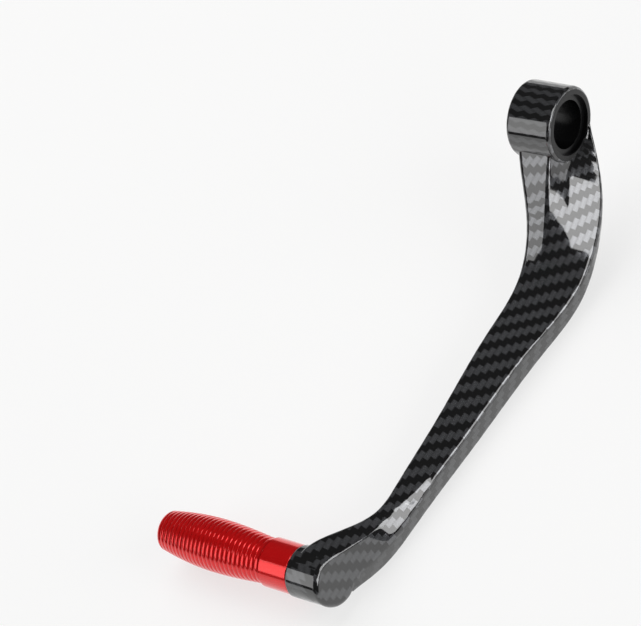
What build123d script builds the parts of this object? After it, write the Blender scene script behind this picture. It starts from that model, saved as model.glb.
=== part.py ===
"""Bar-end lever guard: a bent, twisting arm with an eye for the bar end and a turned,
ribbed grip screwed to its tip."""

import os

from build123d import *

# Eye of the arm: axis along X, outer face at X = 0
EYE_OD = 28.6
EYE_WIDTH = 19.2
EYE_BORE = 18.2
EYE_EDGE = 1.6
SEAT_DIA = 22.6
SEAT_DEPTH = 1.6

# Boss at the tip, axis parallel to the eye's, placed by the centre of its inner face
BOSS_AT = (32.2, 185.2, 1.4)
BOSS_DIA = 19.2
BOSS_LENGTH = 16.2
BOSS_EDGE = 2.2
BOSS_LIP = 0.8
BOSS_FACING = (-1.0, -0.01, 0.25)

# Arm: sections at a share of the way from the eye's axis to the boss, each with its inner bottom,
# inner top, crease, shoulder, outer edge and outer bottom as (X, Z) from the line that joins the two
ARM_SECTIONS = [
    (-0.043, (10.4, -7.9), (10.4, 9.0), (3.1, 9.0), (3.0, -3.8), (1.7, -11.2), (4.4, -11.2)),
    (0.016, (12.5, -13.5), (15.5, 8.0), (1.3, 8.0), (0.5, -11.0), (-5.9, -15.8), (-3.1, -17.6)),
    (0.086, (10.3, -21.1), (13.4, 0.4), (-0.5, 0.5), (-3.8, -9.1), (-13.1, -21.5), (-10.9, -25.6)),
    (0.184, (5.4, -30.3), (5.1, -12.0), (-4.1, -12.3), (-10.5, -19.2), (-18.4, -27.2), (-17.4, -32.1)),
    (0.286, (3.6, -34.8), (1.4, -21.9), (-6.9, -24.3), (-13.0, -26.8), (-19.8, -29.5), (-19.7, -36.6)),
    (0.416, (1.2, -32.6), (-1.5, -19.1), (-9.8, -21.7), (-14.5, -23.2), (-19.1, -24.6), (-19.2, -33.7)),
    (0.632, (-3.7, -25.8), (-6.6, -12.7), (-13.8, -15.8), (-16.6, -17.0), (-19.1, -18.1), (-19.0, -27.0)),
    (0.778, (-7.4, -20.1), (-9.6, -8.0), (-16.4, -10.6), (-18.0, -12.0), (-19.6, -13.5), (-19.3, -21.7)),
    (0.848, (-8.7, -17.1), (-10.5, -4.1), (-14.9, -5.8), (-17.4, -8.8), (-19.9, -11.8), (-19.7, -19.3)),
    (0.907, (-6.3, -14.1), (-7.0, 3.7), (-15.4, 0.4), (-17.6, -4.6), (-19.7, -9.6), (-19.4, -17.6)),
    (0.956, (-2.0, -10.9), (-2.6, 8.7), (-14.4, 6.2), (-16.3, -0.8), (-18.1, -7.8), (-17.9, -15.3)),
    (1, (-1.0, -9.3), (-1.2, 9.5), (-13.8, 9.5), (-15.3, 3.4), (-17.3, -4.6), (-18.4, -9.4)),
]
ARM_ROUNDS = (3.4, 2.6, 1.4, 2.0, 1.3, 1.8)

# Grip, turned, with its barrel's diameters at even steps from the collar to the free end
GRIP_LENGTH = 61.0
COLLAR_DIA = 18.4
COLLAR_LENGTH = 12.5
COLLAR_CHAMFER = 0.5
NECK_WIDTH = 1.1
BARREL_DIAS = (16.6, 18.1, 19.2, 19.6, 19.0, 17.3, 14.6)
RIB_COUNT = 24
RIB_LAND = 0.6
GROOVE_DEPTH = 0.5
END_CHAMFER = 0.5

# M6 socket screw that holds the grip
SCREW_DIA = 6.0
HEAD_DIA = 10.0
HEAD_HEIGHT = 6.0
HEAD_EDGE = 0.5
SOCKET_AF = 5.0
SOCKET_DEPTH = 3.0
SCREW_CLEARANCE = 0.25
HEAD_CLEARANCE = 0.5
THREAD_CLEARANCE = 0.05
HEAD_SINK = 1.0
GRIP_SCREW_BITE = 11.0
SCREW_TIP_GAP = 0.5

# Turn about the eye's axis that lays the arm's lower edge level
REST_ANGLE = 11.0


def arm_section(share, corners):
    """Closed outline across the arm, each corner eased by a curve."""
    n = len(corners)
    centre = share * Vector(*BOSS_AT)
    points = [centre + Vector(x, 0, z) for x, z in corners]
    starts, ends = [], []
    for i, point in enumerate(points):
        before, after = points[i - 1] - point, points[(i + 1) % n] - point
        reach = ARM_ROUNDS[i]
        starts.append(point + before.normalized() * min(reach, 0.42 * before.length))
        ends.append(point + after.normalized() * min(reach, 0.42 * after.length))
    edges = []
    for i in range(n):
        edges.append(Bezier(starts[i], points[i], ends[i]).edge())
        edges.append(Line(ends[i], starts[(i + 1) % n]).edge())
    return Wire(edges)


def across(x):
    """Sketch plane at x, facing +X."""
    return Plane(origin=(x, 0, 0), x_dir=(0, 1, 0), z_dir=(1, 0, 0))


def rod(dia, x0, x1):
    return extrude(across(x0) * Circle(dia / 2), x1 - x0)


def hexagon(flats, x0, x1):
    return extrude(across(x0) * RegularPolygon(flats / 2, 6, major_radius=False), x1 - x0)


def turned(points):
    """Body of revolution about X from (X, radius) points."""
    return revolve(make_face(Polyline(*points, close=True)), Axis.X)


def socket_screw(tip, seat):
    """Screw along X: its thread starts at tip, its head at seat."""
    top = seat + HEAD_HEIGHT
    head_r, shank_r = HEAD_DIA / 2, SCREW_DIA / 2
    body = turned([(tip, 0), (tip, shank_r - HEAD_EDGE), (tip + HEAD_EDGE, shank_r), (seat, shank_r), (seat, head_r),
                   (top - HEAD_EDGE, head_r), (top, head_r - HEAD_EDGE), (top, 0)])
    return body - hexagon(SOCKET_AF, top - SOCKET_DEPTH, top)


def build_arm(at_tip):
    arm = Solid.make_loft([arm_section(share, corners) for share, *corners in ARM_SECTIONS], False)
    eye = rod(EYE_OD, 0, EYE_WIDTH)
    eye = fillet(eye.edges().filter_by(GeomType.CIRCLE), EYE_EDGE)
    # The boss ends flush with the arm's outer face
    face = Plane((-BOSS_LENGTH, 0, 0), z_dir=BOSS_FACING)
    boss = split(rod(BOSS_DIA, -BOSS_LENGTH - BOSS_DIA, 0), face, Keep.BOTTOM)
    boss = fillet(boss.faces().sort_by(Axis.X)[0].edges(), BOSS_EDGE)
    boss = fillet(boss.faces().sort_by(Axis.X)[-1].edges(), BOSS_LIP)
    guard = arm + eye + at_tip * boss
    clear = arm.bounding_box().min.X - 1
    guard -= rod(EYE_BORE, clear, EYE_WIDTH + 1)
    guard -= rod(SEAT_DIA, clear, SEAT_DEPTH)
    tapped = SCREW_DIA + 2 * THREAD_CLEARANCE
    return guard - at_tip * rod(tapped, -GRIP_SCREW_BITE - SCREW_TIP_GAP, 1)


def build_grip():
    first = COLLAR_LENGTH + NECK_WIDTH
    step = (GRIP_LENGTH - first) / (len(BARREL_DIAS) - 1)
    barrel = Spline(*[(first + i * step, dia / 2) for i, dia in enumerate(BARREL_DIAS)]).edge()

    def radius(x):
        return barrel.intersect(Edge.make_line((x, 0), (x, max(BARREL_DIAS)))).vertices()[0].Y

    last = GRIP_LENGTH - END_CHAMFER - RIB_LAND
    pitch = (last - first) / RIB_COUNT
    collar_r, end_r = COLLAR_DIA / 2, BARREL_DIAS[-1] / 2
    outline = [(0, 0), (0, collar_r), (COLLAR_LENGTH - COLLAR_CHAMFER, collar_r), (COLLAR_LENGTH, collar_r - COLLAR_CHAMFER),
               (COLLAR_LENGTH, BARREL_DIAS[0] / 2 - GROOVE_DEPTH)]
    for i in range(RIB_COUNT):
        start = first + i * pitch
        crest = radius(start + RIB_LAND / 2)
        groove = start + (RIB_LAND + pitch) / 2
        outline += [(start, crest), (start + RIB_LAND, crest), (groove, radius(groove) - GROOVE_DEPTH)]
    outline += [(last, radius(last)), (GRIP_LENGTH - END_CHAMFER, end_r), (GRIP_LENGTH, end_r - END_CHAMFER), (GRIP_LENGTH, 0)]
    seat = GRIP_LENGTH - HEAD_SINK - HEAD_HEIGHT
    grip = turned(outline)
    grip -= rod(HEAD_DIA + 2 * HEAD_CLEARANCE, seat, GRIP_LENGTH + 1)
    grip -= rod(SCREW_DIA + 2 * SCREW_CLEARANCE, -1, seat + 1)
    return grip, socket_screw(-GRIP_SCREW_BITE, seat)


at_tip = Pos(*BOSS_AT)
# The frame's origin is the middle of the cap's seat in the eye
lying = Rot(-REST_ANGLE, 0, 0) * Pos(-SEAT_DEPTH, 0, 0)
grip, grip_screw = build_grip()
pieces = {
    "guard_arm": lying * build_arm(at_tip),
    "end_grip": lying * at_tip * grip,
    "grip_screw": lying * at_tip * grip_screw,
}
os.makedirs("parts", exist_ok=True)
for name, piece in pieces.items():
    export_step(piece, os.path.join("parts", name + ".step"))
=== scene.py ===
"""Bar-end lever guard: finishes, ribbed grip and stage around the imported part."""

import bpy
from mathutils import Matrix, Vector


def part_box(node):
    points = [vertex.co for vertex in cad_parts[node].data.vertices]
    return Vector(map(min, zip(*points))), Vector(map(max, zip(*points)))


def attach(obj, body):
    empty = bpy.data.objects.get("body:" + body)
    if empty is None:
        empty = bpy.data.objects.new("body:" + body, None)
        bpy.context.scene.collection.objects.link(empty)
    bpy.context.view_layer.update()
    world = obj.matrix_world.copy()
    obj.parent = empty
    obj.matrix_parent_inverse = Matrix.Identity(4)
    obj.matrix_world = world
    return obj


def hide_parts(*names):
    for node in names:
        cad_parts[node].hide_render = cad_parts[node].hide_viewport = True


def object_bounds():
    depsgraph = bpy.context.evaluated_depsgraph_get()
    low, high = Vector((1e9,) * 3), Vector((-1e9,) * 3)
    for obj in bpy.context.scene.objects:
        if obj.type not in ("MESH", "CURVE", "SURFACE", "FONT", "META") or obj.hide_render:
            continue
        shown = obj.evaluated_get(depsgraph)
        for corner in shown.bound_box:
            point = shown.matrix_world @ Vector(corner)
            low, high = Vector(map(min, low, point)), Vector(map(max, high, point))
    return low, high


bl_info = {
    "name": "Bar-end lever guard",
    "version": (1, 0, 0),
    "blender": (4, 5, 0),
    "location": "View3D > Sidebar > Guard",
    "description": "Builds the lacquered arm, the ribbed red grip, its screw and a pale stage",
    "category": "Object",
}

import math

import bmesh
import bpy
import numpy as np
from bpy.props import FloatProperty, FloatVectorProperty, IntProperty, PointerProperty
from mathutils import Matrix, Vector

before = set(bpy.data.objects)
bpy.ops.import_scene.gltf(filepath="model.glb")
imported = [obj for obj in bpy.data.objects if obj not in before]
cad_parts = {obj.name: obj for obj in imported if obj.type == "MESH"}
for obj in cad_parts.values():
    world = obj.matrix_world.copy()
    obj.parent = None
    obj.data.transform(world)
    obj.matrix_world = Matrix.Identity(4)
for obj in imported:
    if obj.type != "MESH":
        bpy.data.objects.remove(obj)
CAD_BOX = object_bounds()
MM = 0.001
# Points closer than this are joined
JOIN = 0.001 * MM

# Path that the weave follows down the arm's outer face: X, Y and Z of the face's middle in
# millimetres, the way the face looks, and the bands' tilt from square across the path in degrees
WEAVE_PATH = np.array([
    (-2.0, 0.0, 2.0, -0.85, 0.00, 0.52, 5),
    (-3.7, 14.8, -13.4, -0.84, 0.10, 0.54, 8),
    (-6.0, 21.0, -19.0, -0.78, 0.27, 0.56, 22),
    (-6.5, 28.8, -24.6, -0.67, 0.49, 0.55, 33),
    (-5.4, 34.3, -28.1, -0.59, 0.54, 0.60, 37),
    (-2.9, 42.9, -32.7, -0.50, 0.43, 0.75, 39),
    (-1.0, 53.6, -36.0, -0.32, 0.18, 0.93, 39),
    (-0.4, 67.3, -36.5, -0.32, 0.02, 0.95, 40),
    (1.2, 97.5, -37.2, -0.40, 0.08, 0.92, 40),
    (3.7, 125.5, -38.2, -0.48, 0.04, 0.87, 40),
    (6.5, 149.0, -38.5, -0.66, 0.10, 0.74, 46),
    (11.0, 170.0, -35.5, -0.72, 0.00, 0.69, 50),
    (16.0, 200.0, -33.0, -0.72, 0.00, 0.69, 50),
])
# Millimetres between the path's steps, and how many steps ease a corner, twice over
WEAVE_STEP = 0.5
WEAVE_EASE = 13
WEAVE_EASINGS = 2
# Faces that look less than this much the path's way take the weave down the side
WEAVE_TURN = 0.7
# Round the eye the print is drawn out along the axis and drawn in round it
EYE_STRETCH = 1.8
EYE_SQUEEZE = 1.45
WEAVE_UV = "weave"

# Strength of the print, which is thin round the eye, down the outer side, and on the inner side
# where it looks less than this much the path's way; it also thins towards the tip, between two
# places along Y in millimetres
PRINT = "print"
EYE_PRINT = 0.37
SIDE_PRINT = 0.28
INNER_LEAN = 0.35
TIP_PRINT = 0.5
TIP_THINS = (146.0, 170.0)

# Faces that look this much along the eye's axis are its flat ends
FLAT_END = 0.97

# Grip: faces round it, half of a rib's flat in the part, the slice at the free end that gives the
# end's radius, how flat a rib's crest is, and the angle under which edges shade smooth
GRIP_SEGMENTS = 128
HALF_FLAT = 0.3 * MM
END_SLICE = 0.01 * MM
RIB_FLATNESS = 3.5
GRIP_SMOOTH = math.radians(35)

# Camera at the product view, with its own right and up directions
CAMERA_AT = Vector((-0.5464, 0.4869, 0.7464))
CAMERA_RIGHT = Vector((-0.7909, -0.4686, -0.3929))
CAMERA_UP = Vector((0.1905, -0.7992, 0.5695))
CAMERA_LENS = 161.3
SENSOR_WIDTH = 36.0

# Soft boxes: name, azimuth and elevation in degrees, width and height in metres, brightness,
# and whether gloss mirrors it
SOFT_BOXES = (
    ("Soft box by the eye", 58, 27, 0.48, 0.62, 1.75, True),
    ("Soft box by the outer face", 179, 22.5, 0.90, 0.36, 3.5, True),
    ("Small soft box over the tip", 190, 41, 0.22, 0.24, 3.6, True),
    ("Overhead fill", -35, 62, 1.10, 1.10, 1.9, False),
)
BOX_DISTANCE = 0.9

# Kinds of node that are used often
MATH = "ShaderNodeMath"
VECTOR_MATH = "ShaderNodeVectorMath"
SPLIT = "ShaderNodeSeparateXYZ"
RANGE = "ShaderNodeMapRange"
MIX = "ShaderNodeMix"
NOISE = "ShaderNodeTexNoise"
COMPARE = "FunctionNodeCompare"
BOOLEAN = "FunctionNodeBooleanMath"


def srgb(text):
    """Linear colour of an sRGB hex value."""
    parts = [int(text[i:i + 2], 16) / 255 for i in (0, 2, 4)]
    return [c / 12.92 if c <= 0.04045 else ((c + 0.055) / 1.055) ** 2.4 for c in parts]


def feed(tree, node, inputs):
    """Gives each named input of a node its value, or a link from a socket."""
    for key, value in inputs.items():
        if isinstance(value, bpy.types.NodeSocket):
            tree.links.new(value, node.inputs[key])
        else:
            node.inputs[key].default_value = value


def add(tree, kind, inputs=None, **settings):
    """Adds a node with its settings and its inputs."""
    node = tree.nodes.new(kind)
    for key, value in settings.items():
        setattr(node, key, value)
    feed(tree, node, inputs or {})
    return node


class GuardArmLook(bpy.types.PropertyGroup):
    tow_width: FloatProperty(
        name="Tow Width", description="Width of one woven tow",
        default=2.05 * MM, min=0.2 * MM, unit="LENGTH")
    dark: FloatVectorProperty(
        name="Dark Tow", description="Tows that run away from the light",
        subtype="COLOR", size=3, min=0, max=1, default=srgb("070708"))
    light: FloatVectorProperty(
        name="Light Tow", description="Tows that catch the light",
        subtype="COLOR", size=3, min=0, max=1, default=srgb("5c5d60"))
    eye_reach: FloatProperty(
        name="Eye Reach", description="Radius of the eye's outer wall",
        default=14.35 * MM, unit="LENGTH")
    bare_reach: FloatProperty(
        name="Bare Reach", description="Radius of the bare bore and seat in the eye",
        default=11.35 * MM, unit="LENGTH")
    smooth_angle: FloatProperty(
        name="Smooth Angle", description="Edges under this angle shade smooth",
        default=math.radians(28), subtype="ANGLE")


class GuardGripLook(bpy.types.PropertyGroup):
    red: FloatVectorProperty(
        name="Red", description="Colour of the dyed anodising",
        subtype="COLOR", size=3, min=0, max=1, default=srgb("ea0408"))
    collar_length: FloatProperty(
        name="Collar Length", description="Plain collar at the arm",
        default=12.5 * MM, unit="LENGTH")
    collar_edge: FloatProperty(
        name="Collar Edge", description="Chamfer on the collar",
        default=0.5 * MM, unit="LENGTH")
    first_rib: FloatProperty(
        name="First Rib", description="Middle of the first rib, from the arm",
        default=13.9 * MM, unit="LENGTH")
    last_land: FloatProperty(
        name="Last Land", description="Start of the plain land at the free end",
        default=59.9 * MM, unit="LENGTH")
    rib_count: IntProperty(
        name="Ribs", description="Ribs turned in the barrel", default=24, min=1)
    rib_height: FloatProperty(
        name="Rib Height", description="Height of a rib over its groove",
        default=0.4 * MM, unit="LENGTH")
    rib_steps: IntProperty(
        name="Rib Steps", description="Rings of faces in one rib", default=8, min=4)
    end_edge: FloatProperty(
        name="End Edge", description="Chamfer at the free end",
        default=0.5 * MM, unit="LENGTH")
    head_hole: FloatProperty(
        name="Head Hole", description="Diameter of the recess for the screw's head",
        default=11.0 * MM, unit="LENGTH")
    head_hole_depth: FloatProperty(
        name="Head Hole Depth", description="Depth of that recess",
        default=7.0 * MM, unit="LENGTH")
    shank_hole: FloatProperty(
        name="Shank Hole", description="Diameter of the hole for the screw",
        default=6.5 * MM, unit="LENGTH")


class GuardScrewLook(bpy.types.PropertyGroup):
    steel: FloatVectorProperty(
        name="Steel", description="Colour of the plain steel",
        subtype="COLOR", size=3, min=0, max=1, default=srgb("c2c2c4"))


class GuardStageLook(bpy.types.PropertyGroup):
    card: FloatVectorProperty(
        name="Card", description="Colour of the floor",
        subtype="COLOR", size=3, min=0, max=1, default=srgb("f6f6f5"))
    ambient: FloatProperty(
        name="Ambient", description="Brightness of the room round the stage",
        default=0.08, min=0)
    whiteness: FloatProperty(
        name="Whiteness", description="How far the camera sees the floor as pure white",
        default=0.7, min=0, max=1, subtype="FACTOR")
    floor_size: FloatProperty(
        name="Floor Size", description="Side of the floor", default=6.0, unit="LENGTH")


def new_material(name):
    """New material, its node tree and its surface shader."""
    material = bpy.data.materials.new(name)
    material.use_nodes = True
    tree = material.node_tree
    return material, tree, tree.nodes["Principled BSDF"]


def lacquered_twill(look):
    """Carbon-twill print under clear lacquer on moulded plastic: stair-stepped bands of light and
    dark tows lie still under a smooth, wet-looking gloss that mirrors the soft boxes."""
    material, tree, shader = new_material("Lacquered carbon twill")
    # Two tows over and two under; in a tow, noise cells across and along its filaments, which are
    # drawn about 0.2 mm wide so that they show
    repeat, on_top = 4.0, 2
    across_strand, along_strand = 9.0, 0.5
    crown_height = 0.05 * MM
    # Shares of a tow's brightness, whose painted shade is darker in the grooves than on the crown,
    # and how much of a lit tow shines like the fibre itself
    groove_shade, crown_shade, filament_shade = 0.45, 0.35, 0.5
    fibre_shine = 0.65
    # The map is in millimetres, so dividing by the tow's width counts tows
    tow = look.tow_width / MM
    uv = add(tree, "ShaderNodeUVMap", uv_map=WEAVE_UV)
    tows = add(tree, VECTOR_MATH, {0: uv.outputs["UV"], 1: (1 / tow, 1 / tow, 0)},
               operation="MULTIPLY")
    cell = add(tree, VECTOR_MATH, {0: tows.outputs[0]}, operation="FLOOR")
    within = add(tree, VECTOR_MATH, {0: tows.outputs[0]}, operation="FRACTION")
    cell_xy = add(tree, SPLIT, {0: cell.outputs[0]})
    within_xy = add(tree, SPLIT, {0: within.outputs[0]})
    # The pattern steps one tow to the side on each row
    step = add(tree, MATH, {0: cell_xy.outputs["X"], 1: cell_xy.outputs["Y"]}, operation="ADD")
    turn = add(tree, MATH, {0: step.outputs[0], 1: repeat}, operation="FLOORED_MODULO")
    warp = add(tree, MATH, {0: turn.outputs[0], 1: on_top - 0.5}, operation="LESS_THAN")
    strength = add(tree, "ShaderNodeAttribute", attribute_name=PRINT)
    lit = add(tree, MATH, {0: warp.outputs[0], 1: strength.outputs["Fac"]}, operation="MULTIPLY")
    # Each tow is rounded across its width
    across = add(tree, MIX, {0: warp.outputs[0], 2: within_xy.outputs["Y"],
                             3: within_xy.outputs["X"]})
    from_middle = add(tree, MATH, {0: across.outputs[0], 1: 2.0, 2: -1.0},
                      operation="MULTIPLY_ADD")
    square = add(tree, MATH, {0: from_middle.outputs[0], 1: from_middle.outputs[0]},
                 operation="MULTIPLY")
    crown = add(tree, MATH, {0: 1.0, 1: square.outputs[0]}, operation="SUBTRACT")
    # Filaments run along the tow that lies on top
    along_warp = add(tree, VECTOR_MATH, {0: tows.outputs[0], 1: (across_strand, along_strand, 0)},
                     operation="MULTIPLY")
    along_weft = add(tree, VECTOR_MATH, {0: tows.outputs[0], 1: (along_strand, across_strand, 0)},
                     operation="MULTIPLY")
    strand = add(tree, MIX, {0: warp.outputs[0], 4: along_weft.outputs[0],
                             5: along_warp.outputs[0]}, data_type="VECTOR")
    filament = add(tree, NOISE, {"Vector": strand.outputs[1], "Scale": 1.0, "Detail": 2.0})
    # Painted shade: each tow's colour is darker towards its edges, where it rounds down into the
    # groove; the filaments' noise is added to it
    shade = add(tree, MATH, {0: crown.outputs[0], 1: crown_shade, 2: groove_shade},
                operation="MULTIPLY_ADD")
    grain = add(tree, MATH, {0: filament.outputs["Fac"], 1: filament_shade, 2: shade.outputs[0]},
                operation="MULTIPLY_ADD")
    bands = add(tree, MIX, {0: lit.outputs[0], 6: (*look.dark, 1), 7: (*look.light, 1)},
                data_type="RGBA")
    colour = add(tree, VECTOR_MATH, {0: bands.outputs[2], "Scale": grain.outputs[0]},
                 operation="SCALE")
    bump = add(tree, "ShaderNodeBump", {"Strength": 0.25, "Distance": crown_height,
                                        "Height": crown.outputs[0]})
    shine = add(tree, MATH, {0: lit.outputs[0], 1: fibre_shine}, operation="MULTIPLY")
    rough = add(tree, RANGE, {"Value": warp.outputs[0], "To Min": 0.6, "To Max": 0.18})
    feed(tree, shader, {
        "Base Color": colour.outputs[0], "Normal": bump.outputs[0], "Metallic": shine.outputs[0],
        "Roughness": rough.outputs[0], "IOR": 1.5, "Specular IOR Level": 0.05,
        "Coat Weight": 1.0, "Coat Roughness": 0.05, "Coat IOR": 1.85})
    return material


def red_anodised(look):
    """Turned aluminium, anodised and dyed red: a deep colour with satin highlights that the fine
    rings of the turning tool draw out round the axis."""
    material, tree, shader = new_material("Red anodised aluminium")
    # Tool marks, drawn wider apart than real ones so that they show
    mark_pitch, mark_depth = 0.3 * MM, 0.02 * MM
    place = add(tree, "ShaderNodeTexCoord")
    along = add(tree, SPLIT, {0: place.outputs["Object"]})
    marks = add(tree, NOISE, {"W": along.outputs["X"], "Scale": 1 / mark_pitch, "Detail": 2.0},
                noise_dimensions="1D")
    rough = add(tree, RANGE, {"Value": marks.outputs["Fac"], "To Min": 0.13, "To Max": 0.24})
    # The red is 0.88 to 1.08 times as bright, ring by ring along the tool marks
    ring_tone = add(tree, RANGE, {"Value": marks.outputs["Fac"], "To Min": 0.88, "To Max": 1.08})
    colour = add(tree, VECTOR_MATH, {0: look.red, "Scale": ring_tone.outputs[0]}, operation="SCALE")
    bump = add(tree, "ShaderNodeBump", {"Strength": 0.12, "Distance": mark_depth,
                                        "Height": marks.outputs["Fac"]})
    feed(tree, shader, {
        "Base Color": colour.outputs[0], "Roughness": rough.outputs[0], "Normal": bump.outputs[0],
        "Metallic": 0.52, "Coat Weight": 0.6, "Coat Roughness": 0.06})
    return material


def plain_steel(look):
    """Plain steel from a heading die: grey, fairly bright, with an uneven satin sheen."""
    material, tree, shader = new_material("Plain steel")
    mottle_size = 0.8 * MM
    place = add(tree, "ShaderNodeTexCoord")
    mottle = add(tree, NOISE, {"Vector": place.outputs["Object"], "Scale": 1 / mottle_size,
                               "Detail": 3.0})
    rough = add(tree, RANGE, {"Value": mottle.outputs["Fac"], "To Min": 0.24, "To Max": 0.42})
    shade = add(tree, RANGE, {"Value": mottle.outputs["Fac"], "To Min": 0.85, "To Max": 1.05})
    colour = add(tree, VECTOR_MATH, {0: look.steel, "Scale": shade.outputs[0]}, operation="SCALE")
    feed(tree, shader, {"Base Color": colour.outputs[0], "Roughness": rough.outputs[0],
                        "Metallic": 1.0})
    return material


def matt_card(look):
    """Matt white card: a plain pale ground that takes soft shadows and gives no glare."""
    material, tree, shader = new_material("Matt white card")
    feed(tree, shader, {"Base Color": (*look.card, 1), "Roughness": 1.0,
                        "Specular IOR Level": 0.0})
    # Gloss sees the card as white, and the camera sees it part white, so the shadow stays soft
    path = add(tree, "ShaderNodeLightPath")
    seen = add(tree, MATH, {0: path.outputs["Is Camera Ray"], 1: look.whiteness},
               operation="MULTIPLY")
    gloss = add(tree, MATH, {0: seen.outputs[0], 1: path.outputs["Is Glossy Ray"]},
                operation="MAXIMUM")
    clear = add(tree, MATH, {0: gloss.outputs[0], 1: path.outputs["Is Transmission Ray"]},
                operation="MAXIMUM")
    white = add(tree, "ShaderNodeEmission", {"Strength": 1.0})
    ground = add(tree, "ShaderNodeMixShader", {0: clear.outputs[0], 1: shader.outputs[0],
                                               2: white.outputs[0]})
    feed(tree, tree.nodes["Material Output"], {"Surface": ground.outputs[0]})
    return material


def moulded_black():
    """Black moulded plastic, bare inside the eye: half-dull, with the fine sparkle that a
    spark-eroded tool leaves."""
    material, tree, shader = new_material("Moulded black plastic")
    grain_size = 0.25 * MM
    place = add(tree, "ShaderNodeTexCoord")
    grain = add(tree, NOISE, {"Vector": place.outputs["Object"], "Scale": 1 / grain_size,
                              "Detail": 2.0})
    colour = add(tree, MIX, {0: grain.outputs["Fac"], 6: (*srgb("050506"), 1),
                             7: (*srgb("101011"), 1)}, data_type="RGBA")
    rough = add(tree, RANGE, {"Value": grain.outputs["Fac"], "To Min": 0.2, "To Max": 0.36})
    feed(tree, shader, {"Base Color": colour.outputs[2], "Roughness": rough.outputs[0],
                        "Specular IOR Level": 0.3})
    return material


def bare_copy(node, name):
    """Copy of a CAD node's mesh without its shading and its materials."""
    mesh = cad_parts[node].data.copy()
    mesh.name = name
    for attribute in ("custom_normal", "sharp_face", "sharp_edge"):
        if attribute in mesh.attributes:
            mesh.attributes.remove(mesh.attributes[attribute])
    mesh.materials.clear()
    return mesh


def outward(mesh, smooth_angle):
    """Joins loose faces, turns them outwards and shades edges under the angle smooth."""
    turned = bmesh.new()
    turned.from_mesh(mesh)
    bmesh.ops.remove_doubles(turned, verts=turned.verts, dist=JOIN)
    bmesh.ops.recalc_face_normals(turned, faces=turned.faces)
    turned.to_mesh(mesh)
    turned.free()
    mesh.shade_smooth()
    mesh.set_sharp_from_angle(angle=smooth_angle)


def place_piece(mesh, name):
    piece = bpy.data.objects.new(name, mesh)
    bpy.context.scene.collection.objects.link(piece)
    return piece


def baked(blank, name):
    """Mesh of an object with its modifiers applied; the object is taken away."""
    solid = blank.evaluated_get(bpy.context.evaluated_depsgraph_get())
    mesh = bpy.data.meshes.new_from_object(solid)
    if len(mesh.polygons) == 0:
        raise RuntimeError(name + " came out empty")
    mesh.name = name
    bpy.data.objects.remove(blank)
    return mesh


def values(items, name, width=1, kind=float):
    """Array of one property of all the faces, corners or points of a mesh."""
    found = np.zeros(len(items) * width, kind)
    items.foreach_get(name, found)
    return found.reshape(-1, width) if width > 1 else found


def dot(rows, others):
    return (rows * others).sum(1)


def nearest(path, places):
    """Step of the path that is nearest to each place."""
    return ((path ** 2).sum(1) - 2 * places @ path.T).argmin(1)


def weave_path():
    """Points, ways and band tilt along the weave's path at even steps, with its corners eased."""
    lengths = np.linalg.norm(np.diff(WEAVE_PATH[:, :3], axis=0), axis=1).cumsum()
    lengths = np.concatenate([[0], lengths])
    steps = np.arange(0, lengths[-1], WEAVE_STEP)
    path = np.stack([np.interp(steps, lengths, column) for column in WEAVE_PATH.T], 1)
    half = WEAVE_EASE // 2
    share = np.ones(WEAVE_EASE) / WEAVE_EASE
    for _ in range(WEAVE_EASINGS):
        padded = np.pad(path, ((half, half), (0, 0)), mode="reflect", reflect_type="odd")
        path = np.stack([np.convolve(column, share, "valid") for column in padded.T], 1)
    return path[:, :3], path[:, 3:6], np.radians(path[:, 6])


def lay_weave(mesh, eye_reach):
    """UV map in millimetres that follows the arm's face, with its tows at 45 degrees to the bands,
    and the strength of the print. Round the eye's wall the bands run along the eye's axis."""
    normals = values(mesh.polygons, "normal", 3)
    centres = values(mesh.polygons, "center", 3) / MM
    points = values(mesh.vertices, "co", 3) / MM
    corners = values(mesh.loops, "vertex_index", kind=int)
    face_of = np.repeat(np.arange(len(mesh.polygons)),
                        values(mesh.polygons, "loop_total", kind=int))
    eye_radius = eye_reach / MM
    path, facing, tilt = weave_path()
    tangent = np.gradient(path, axis=0)
    run = np.linalg.norm(tangent, axis=1)
    tangent /= run[:, None]
    facing = facing - tangent * dot(facing, tangent)[:, None]
    facing /= np.linalg.norm(facing, axis=1)[:, None]
    over = np.cross(facing, tangent)
    # Length run along the path, split into its parts across and along the bands
    across_run, along_run = np.cumsum(run * np.cos(tilt)), np.cumsum(run * np.sin(tilt))
    # Each point belongs to the nearest step of the path, and lies some way past it
    near = nearest(path, points)
    offset = points - path[near]
    past = dot(offset, tangent[near])[corners]
    over_face = dot(offset, over[near])[corners]
    down_side = dot(offset, facing[near])[corners]
    face_near = nearest(path, centres)
    lean = np.abs(dot(normals, facing[face_near]))
    sideways = np.where((lean > WEAVE_TURN)[face_of], over_face, down_side)
    step = near[corners]
    sine, cosine = np.sin(tilt[step]), np.cos(tilt[step])
    across = across_run[step] + past * cosine + sideways * sine
    along = sideways * cosine - along_run[step] - past * sine
    # The eye's wall
    on_eye = np.hypot(centres[:, 1], centres[:, 2]) < eye_radius
    on_eye &= np.abs(normals[:, 0]) < WEAVE_TURN
    outer_side = dot(normals, over[face_near]) > 0
    thin = lean < np.where(outer_side, WEAVE_TURN, INNER_LEAN)
    strength = np.where(on_eye, EYE_PRINT, np.where(thin, SIDE_PRINT, 1.0))[face_of]
    strength = strength * np.interp(points[corners, 1], TIP_THINS, (1.0, TIP_PRINT))
    mesh.attributes.new(PRINT, "FLOAT", "CORNER").data.foreach_set("value", strength)
    on_eye = on_eye[face_of]
    angle = np.arctan2(points[:, 1], points[:, 2])[corners]
    across = np.where(on_eye, angle * eye_radius * EYE_SQUEEZE, across)
    along = np.where(on_eye, points[corners, 0] / EYE_STRETCH, along)
    uv = np.stack([across + along, across - along], 1) / math.sqrt(2)
    mesh.uv_layers.new(name=WEAVE_UV).uv.foreach_set("vector", uv.ravel())


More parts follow.
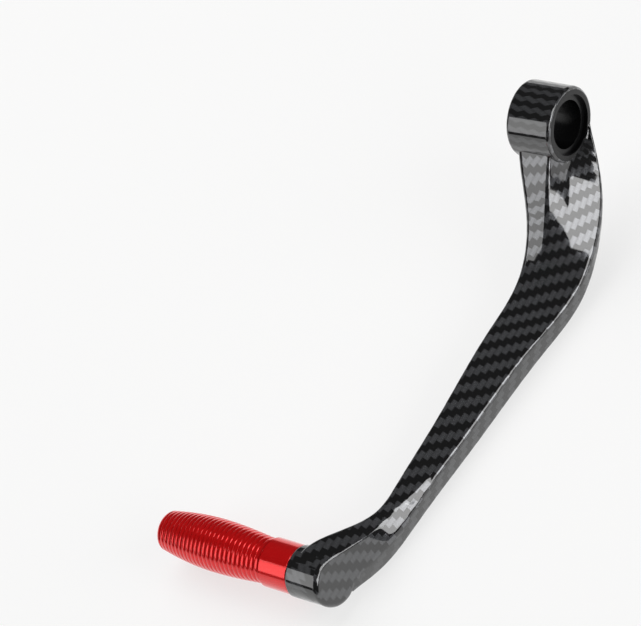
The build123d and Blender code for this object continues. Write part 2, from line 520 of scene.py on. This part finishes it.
def lathe(name, outline, axis_y, axis_z, segments):
    """Closed body of revolution about X from a closed row of (x, radius) points."""
    angles = np.arange(segments) * 2 * math.pi / segments
    outline = np.array(outline)
    points = np.stack([
        np.repeat(outline[:, :1], segments, 1),
        axis_y + outline[:, 1:] * np.cos(angles),
        axis_z + outline[:, 1:] * np.sin(angles),
    ], -1).reshape(-1, 3)
    rows = len(outline)
    faces = []
    for i in range(rows):
        here, there = i * segments, (i + 1) % rows * segments
        for j in range(segments):
            k = (j + 1) % segments
            faces.append((here + j, here + k, there + k, there + j))
    mesh = bpy.data.meshes.new(name)
    mesh.from_pydata(points.tolist(), [], faces)
    return mesh


def rib_tree():
    """Geometry nodes that raise rounded ribs on a barrel that lies along X."""
    tree = bpy.data.node_groups.new("Turned ribs", "GeometryNodeTree")
    sockets = {"Geometry": "Geometry", "First Rib": "Float", "Pitch": "Float", "Height": "Float",
               "Axis Y": "Float", "Axis Z": "Float", "Count": "Int", "Barrel Radius": "Float",
               "Material": "Material"}
    for name, kind in sockets.items():
        tree.interface.new_socket(name, in_out="INPUT", socket_type="NodeSocket" + kind)
    tree.interface.new_socket("Geometry", in_out="OUTPUT", socket_type="NodeSocketGeometry")
    given = add(tree, "NodeGroupInput").outputs
    place = add(tree, "GeometryNodeInputPosition")
    xyz = add(tree, SPLIT, {0: place.outputs[0]})
    # Pitches past the first rib's start, and the distance from the nearest crest
    past = add(tree, MATH, {0: xyz.outputs["X"], 1: given["First Rib"]}, operation="SUBTRACT")
    turns = add(tree, MATH, {0: past.outputs[0], 1: given["Pitch"]}, operation="DIVIDE")
    phase = add(tree, MATH, {0: turns.outputs[0], 1: 0.5}, operation="ADD")
    share = add(tree, MATH, {0: phase.outputs[0]}, operation="FRACT")
    spread = add(tree, MATH, {0: share.outputs[0], 1: 2.0, 2: -1.0}, operation="MULTIPLY_ADD")
    off = add(tree, MATH, {0: spread.outputs[0]}, operation="ABSOLUTE")
    fall = add(tree, MATH, {0: off.outputs[0], 1: RIB_FLATNESS}, operation="POWER")
    crest = add(tree, MATH, {0: 1.0, 1: fall.outputs[0]}, operation="SUBTRACT")
    lift = add(tree, MATH, {0: crest.outputs[0], 1: given["Height"]}, operation="MULTIPLY")
    out_y = add(tree, MATH, {0: xyz.outputs["Y"], 1: given["Axis Y"]}, operation="SUBTRACT")
    out_z = add(tree, MATH, {0: xyz.outputs["Z"], 1: given["Axis Z"]}, operation="SUBTRACT")
    spoke = add(tree, "ShaderNodeCombineXYZ", {"Y": out_y.outputs[0], "Z": out_z.outputs[0]})
    radius = add(tree, VECTOR_MATH, {0: spoke.outputs[0]}, operation="LENGTH")
    outwards = add(tree, VECTOR_MATH, {0: spoke.outputs[0]}, operation="NORMALIZE")
    move = add(tree, VECTOR_MATH, {0: outwards.outputs[0], "Scale": lift.outputs[0]},
               operation="SCALE")
    # Only the barrel's outside between the first and the last groove
    after = add(tree, COMPARE, {0: phase.outputs[0], 1: 0.0}, operation="GREATER_THAN")
    before = add(tree, COMPARE, {0: phase.outputs[0], 1: given["Count"]}, operation="LESS_THAN")
    outside = add(tree, COMPARE, {0: radius.outputs["Value"], 1: given["Barrel Radius"]},
                  operation="GREATER_THAN")
    between = add(tree, BOOLEAN, {0: after.outputs[0], 1: before.outputs[0]}, operation="AND")
    ribbed = add(tree, BOOLEAN, {0: between.outputs[0], 1: outside.outputs[0]}, operation="AND")
    raised = add(tree, "GeometryNodeSetPosition",
                 {"Geometry": given["Geometry"], "Selection": ribbed.outputs[0],
                  "Offset": move.outputs[0]})
    real = add(tree, "GeometryNodeRealizeInstances", {"Geometry": raised.outputs[0]})
    dressed = add(tree, "GeometryNodeSetMaterial",
                  {"Geometry": real.outputs[0], "Material": given["Material"]})
    add(tree, "NodeGroupOutput", {0: dressed.outputs[0]})
    return tree


class GUARD_OT_arm(bpy.types.Operator):
    """Dress the moulded arm in lacquered carbon twill"""
    bl_idname = "guard.arm"
    bl_label = "Arm"

    def execute(self, context):
        look = context.scene.guard_arm
        mesh = bare_copy("guard_arm", "lacquered_arm")
        outward(mesh, look.smooth_angle)
        # Broad faces keep their own way right up to their rounded edges, so reflections stay clean
        blank = place_piece(mesh, "arm_blank")
        blank.modifiers.new("Broad faces lead", "WEIGHTED_NORMAL").keep_sharp = True
        mesh = baked(blank, "lacquered_arm")
        lay_weave(mesh, look.eye_reach)
        mesh.materials.append(lacquered_twill(look))
        mesh.materials.append(moulded_black())
        # The eye's bore, its seat and its two flat ends, about the X axis, are bare plastic
        for face in mesh.polygons:
            reach = math.hypot(face.center.y, face.center.z)
            flat_end = reach < look.eye_reach and abs(face.normal.x) > FLAT_END
            face.material_index = int(reach < look.bare_reach or flat_end)
        piece = place_piece(mesh, "lacquered_arm")
        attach(piece, "root")
        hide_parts("guard_arm")
        return {"FINISHED"}


class GUARD_OT_grip(bpy.types.Operator):
    """Turn the red grip with its plain collar and ribbed barrel"""
    bl_idname = "guard.grip"
    bl_label = "Grip"

    def execute(self, context):
        look = context.scene.guard_grip
        low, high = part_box("end_grip")
        axis_y, axis_z = (low.y + high.y) / 2, (low.z + high.z) / 2
        length = high.x - low.x
        cad = np.array([v.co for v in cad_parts["end_grip"].data.vertices])
        cad_x = cad[:, 0] - low.x
        cad_r = np.hypot(cad[:, 1] - axis_y, cad[:, 2] - axis_z)
        collar_r = cad_r[cad_x < look.collar_length / 2].max()
        end_r = cad_r[cad_x > length - END_SLICE].max() + look.end_edge
        # The barrel's swell, read at each rib's crest
        pitch = (look.last_land + HALF_FLAT - look.first_rib) / look.rib_count
        crests = look.first_rib + pitch * np.arange(look.rib_count + 1)
        swell = np.array([cad_r[np.abs(cad_x - x) < pitch / 2].max() for x in crests])
        start, steps = look.first_rib - pitch / 2, look.rib_count * look.rib_steps
        rings = start + np.arange(steps + 1) * pitch / look.rib_steps
        floor_r = np.interp(rings, crests, swell) - look.rib_height
        recess = length - look.head_hole_depth
        head_r, shank_r = look.head_hole / 2, look.shank_hole / 2
        collar, edge, end_edge = look.collar_length, look.collar_edge, look.end_edge
        outline = [(0, shank_r), (0, collar_r - edge / 2), (edge / 2, collar_r),
                   (collar - edge, collar_r), (collar, collar_r - edge), (collar, floor_r[0])]
        outline += list(zip(rings, floor_r))
        outline += [(look.last_land, swell[-1]), (length - end_edge, end_r),
                    (length, end_r - end_edge), (length, head_r), (recess, head_r),
                    (recess, shank_r)]
        outline = [(low.x + x, r) for x, r in outline]
        barrel = lathe("grip_blank", outline, axis_y, axis_z, GRIP_SEGMENTS)
        blank = place_piece(barrel, "grip_blank")
        ribs = blank.modifiers.new("Ribs", "NODES")
        tree = rib_tree()
        ribs.node_group = tree
        sizes = {"First Rib": low.x + look.first_rib, "Pitch": pitch, "Height": look.rib_height,
                 "Axis Y": axis_y, "Axis Z": axis_z, "Count": look.rib_count,
                 "Barrel Radius": head_r, "Material": red_anodised(look)}
        for socket in tree.interface.items_tree:
            if socket.in_out == "INPUT" and socket.name in sizes:
                ribs[socket.identifier] = sizes[socket.name]
        mesh = baked(blank, "ribbed_grip")
        outward(mesh, GRIP_SMOOTH)
        piece = place_piece(mesh, "ribbed_grip")
        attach(piece, "root")
        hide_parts("end_grip")
        return {"FINISHED"}


class GUARD_OT_screw(bpy.types.Operator):
    """Give the socket screw its steel"""
    bl_idname = "guard.screw"
    bl_label = "Screw"

    def execute(self, context):
        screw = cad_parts["grip_screw"]
        steel = plain_steel(context.scene.guard_screw)
        if not screw.material_slots:
            screw.data.materials.append(steel)
        for slot in screw.material_slots:
            slot.material = steel
        return {"FINISHED"}


class GUARD_OT_stage(bpy.types.Operator):
    """Set the floor, the soft boxes and the camera"""
    bl_idname = "guard.stage"
    bl_label = "Stage"

    def execute(self, context):
        look, scene = context.scene.guard_stage, context.scene
        half, level = look.floor_size / 2, CAD_BOX[0].z
        mesh = bpy.data.meshes.new("floor")
        mesh.from_pydata([(-half, -half, level), (half, -half, level),
                          (half, half, level), (-half, half, level)], [], [(0, 1, 2, 3)])
        mesh.materials.append(matt_card(look))
        place_piece(mesh, "floor")
        middle = (CAD_BOX[0] + CAD_BOX[1]) / 2
        for name, azimuth, elevation, width, height, brightness, mirrored in SOFT_BOXES:
            a, e = math.radians(azimuth), math.radians(elevation)
            way = Vector((math.cos(e) * math.cos(a), math.cos(e) * math.sin(a), math.sin(e)))
            lamp = bpy.data.lights.new(name, "AREA")
            lamp.shape = "RECTANGLE"
            lamp.size, lamp.size_y = width, height
            lamp.energy = brightness * math.pi * width * height
            box = bpy.data.objects.new(name, lamp)
            box.location = middle + BOX_DISTANCE * way
            box.rotation_euler = way.to_track_quat("Z", "Y").to_euler()
            box.visible_glossy = mirrored
            scene.collection.objects.link(box)
        world = bpy.data.worlds.new("Soft room")
        world.use_nodes = True
        feed(world.node_tree, world.node_tree.nodes["Background"],
             {"Color": (1, 1, 1, 1), "Strength": look.ambient})
        scene.world = world
        camera = bpy.data.objects.new("Camera", bpy.data.cameras.new("Camera"))
        camera.data.sensor_fit = "HORIZONTAL"
        camera.data.sensor_width = SENSOR_WIDTH
        camera.data.lens = CAMERA_LENS
        back = CAMERA_RIGHT.cross(CAMERA_UP)
        turn = Matrix((CAMERA_RIGHT, CAMERA_UP, back)).transposed().to_quaternion()
        camera.matrix_world = Matrix.Translation(CAMERA_AT) @ turn.to_matrix().to_4x4()
        scene.collection.objects.link(camera)
        scene.camera = camera
        scene.view_settings.view_transform = "Standard"
        return {"FINISHED"}


class GUARD_PT_panel(bpy.types.Panel):
    """Builds the guard's pieces and shows their sizes and colours"""
    bl_idname = "GUARD_PT_panel"
    bl_label = "Lever guard"
    bl_space_type = "VIEW_3D"
    bl_region_type = "UI"
    bl_category = "Guard"

    def draw(self, context):
        for operator, look in STEPS:
            box = self.layout.box()
            box.operator(operator.bl_idname)
            settings = getattr(context.scene, look)
            for name in settings.__annotations__:
                box.prop(settings, name)


LOOKS = {"guard_arm": GuardArmLook, "guard_grip": GuardGripLook, "guard_screw": GuardScrewLook,
         "guard_stage": GuardStageLook}
STEPS = ((GUARD_OT_arm, "guard_arm"), (GUARD_OT_grip, "guard_grip"),
         (GUARD_OT_screw, "guard_screw"), (GUARD_OT_stage, "guard_stage"))
CLASSES = (*LOOKS.values(), *(operator for operator, look in STEPS), GUARD_PT_panel)


def register():
    for cls in CLASSES:
        bpy.utils.register_class(cls)
    for name, look in LOOKS.items():
        setattr(bpy.types.Scene, name, PointerProperty(type=look))


def unregister():
    for name in LOOKS:
        delattr(bpy.types.Scene, name)
    for cls in reversed(CLASSES):
        bpy.utils.unregister_class(cls)


def main():
    register()
    bpy.ops.guard.arm()
    bpy.ops.guard.grip()
    bpy.ops.guard.screw()
    bpy.ops.guard.stage()


if __name__ == "__main__":
    main()
